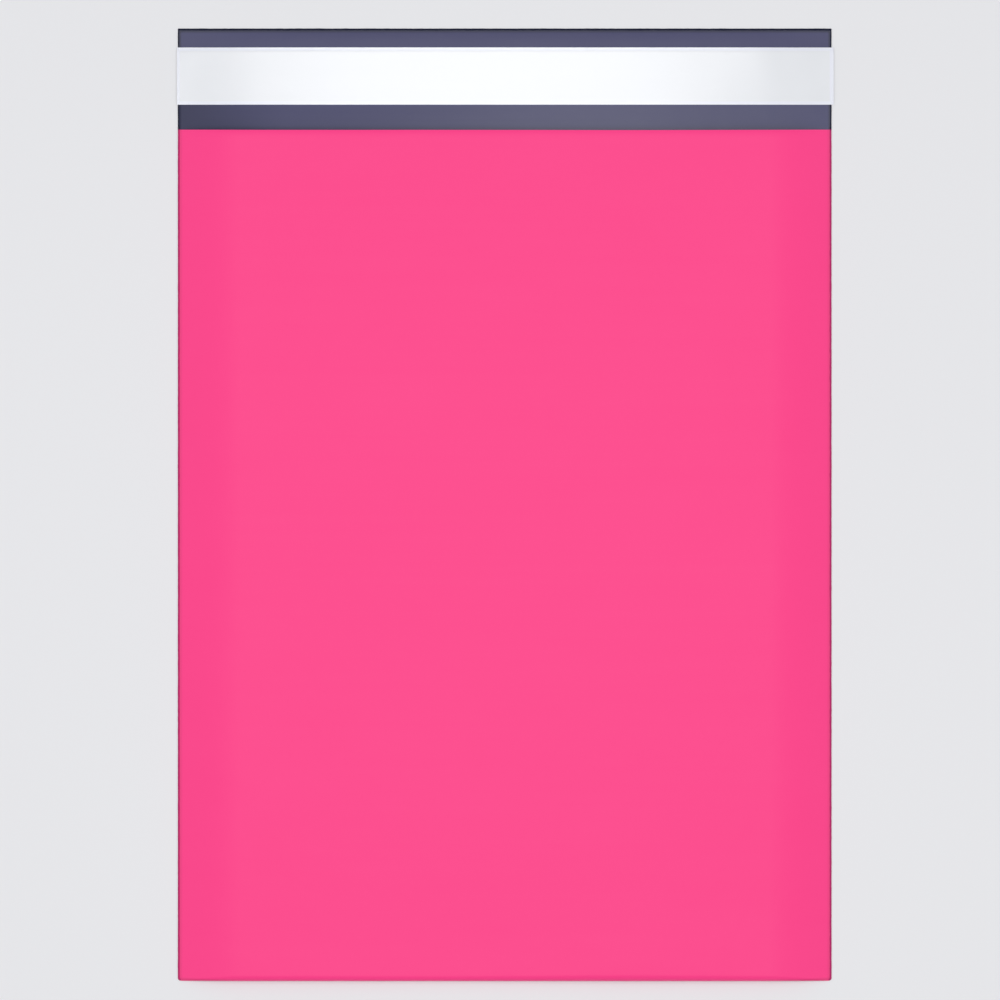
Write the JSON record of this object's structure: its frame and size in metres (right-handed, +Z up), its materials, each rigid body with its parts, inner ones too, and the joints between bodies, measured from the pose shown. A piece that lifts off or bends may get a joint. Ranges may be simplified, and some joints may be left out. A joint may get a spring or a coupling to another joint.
{
  "type": "poly mailer bag",
  "caption": "Flat rectangular film mailer: folded bottom, welded sides, open mouth, and a flap with an adhesive strip under a white release liner.",
  "frame": {"origin": "centre of the bounding box, on the plane the bag lies on", "axes": "+Y from the bottom fold towards the flap, +Z up out of the front panel, +X across the bag"},
  "size_m": [0.2556, 0.3704, 0.0052],
  "materials": {
    "pink_outside": "satin polyethylene film",
    "grey_inside": "satin opaque grey lining",
    "clear_tack": "clear hot-melt adhesive",
    "white_liner": "smooth silicone-coated film"
  },
  "bodies": {
    "root": {"bag_film": "pink_outside", "adhesive_strip": "clear_tack", "release_liner": "white_liner"}
  },
  "joints": []
}
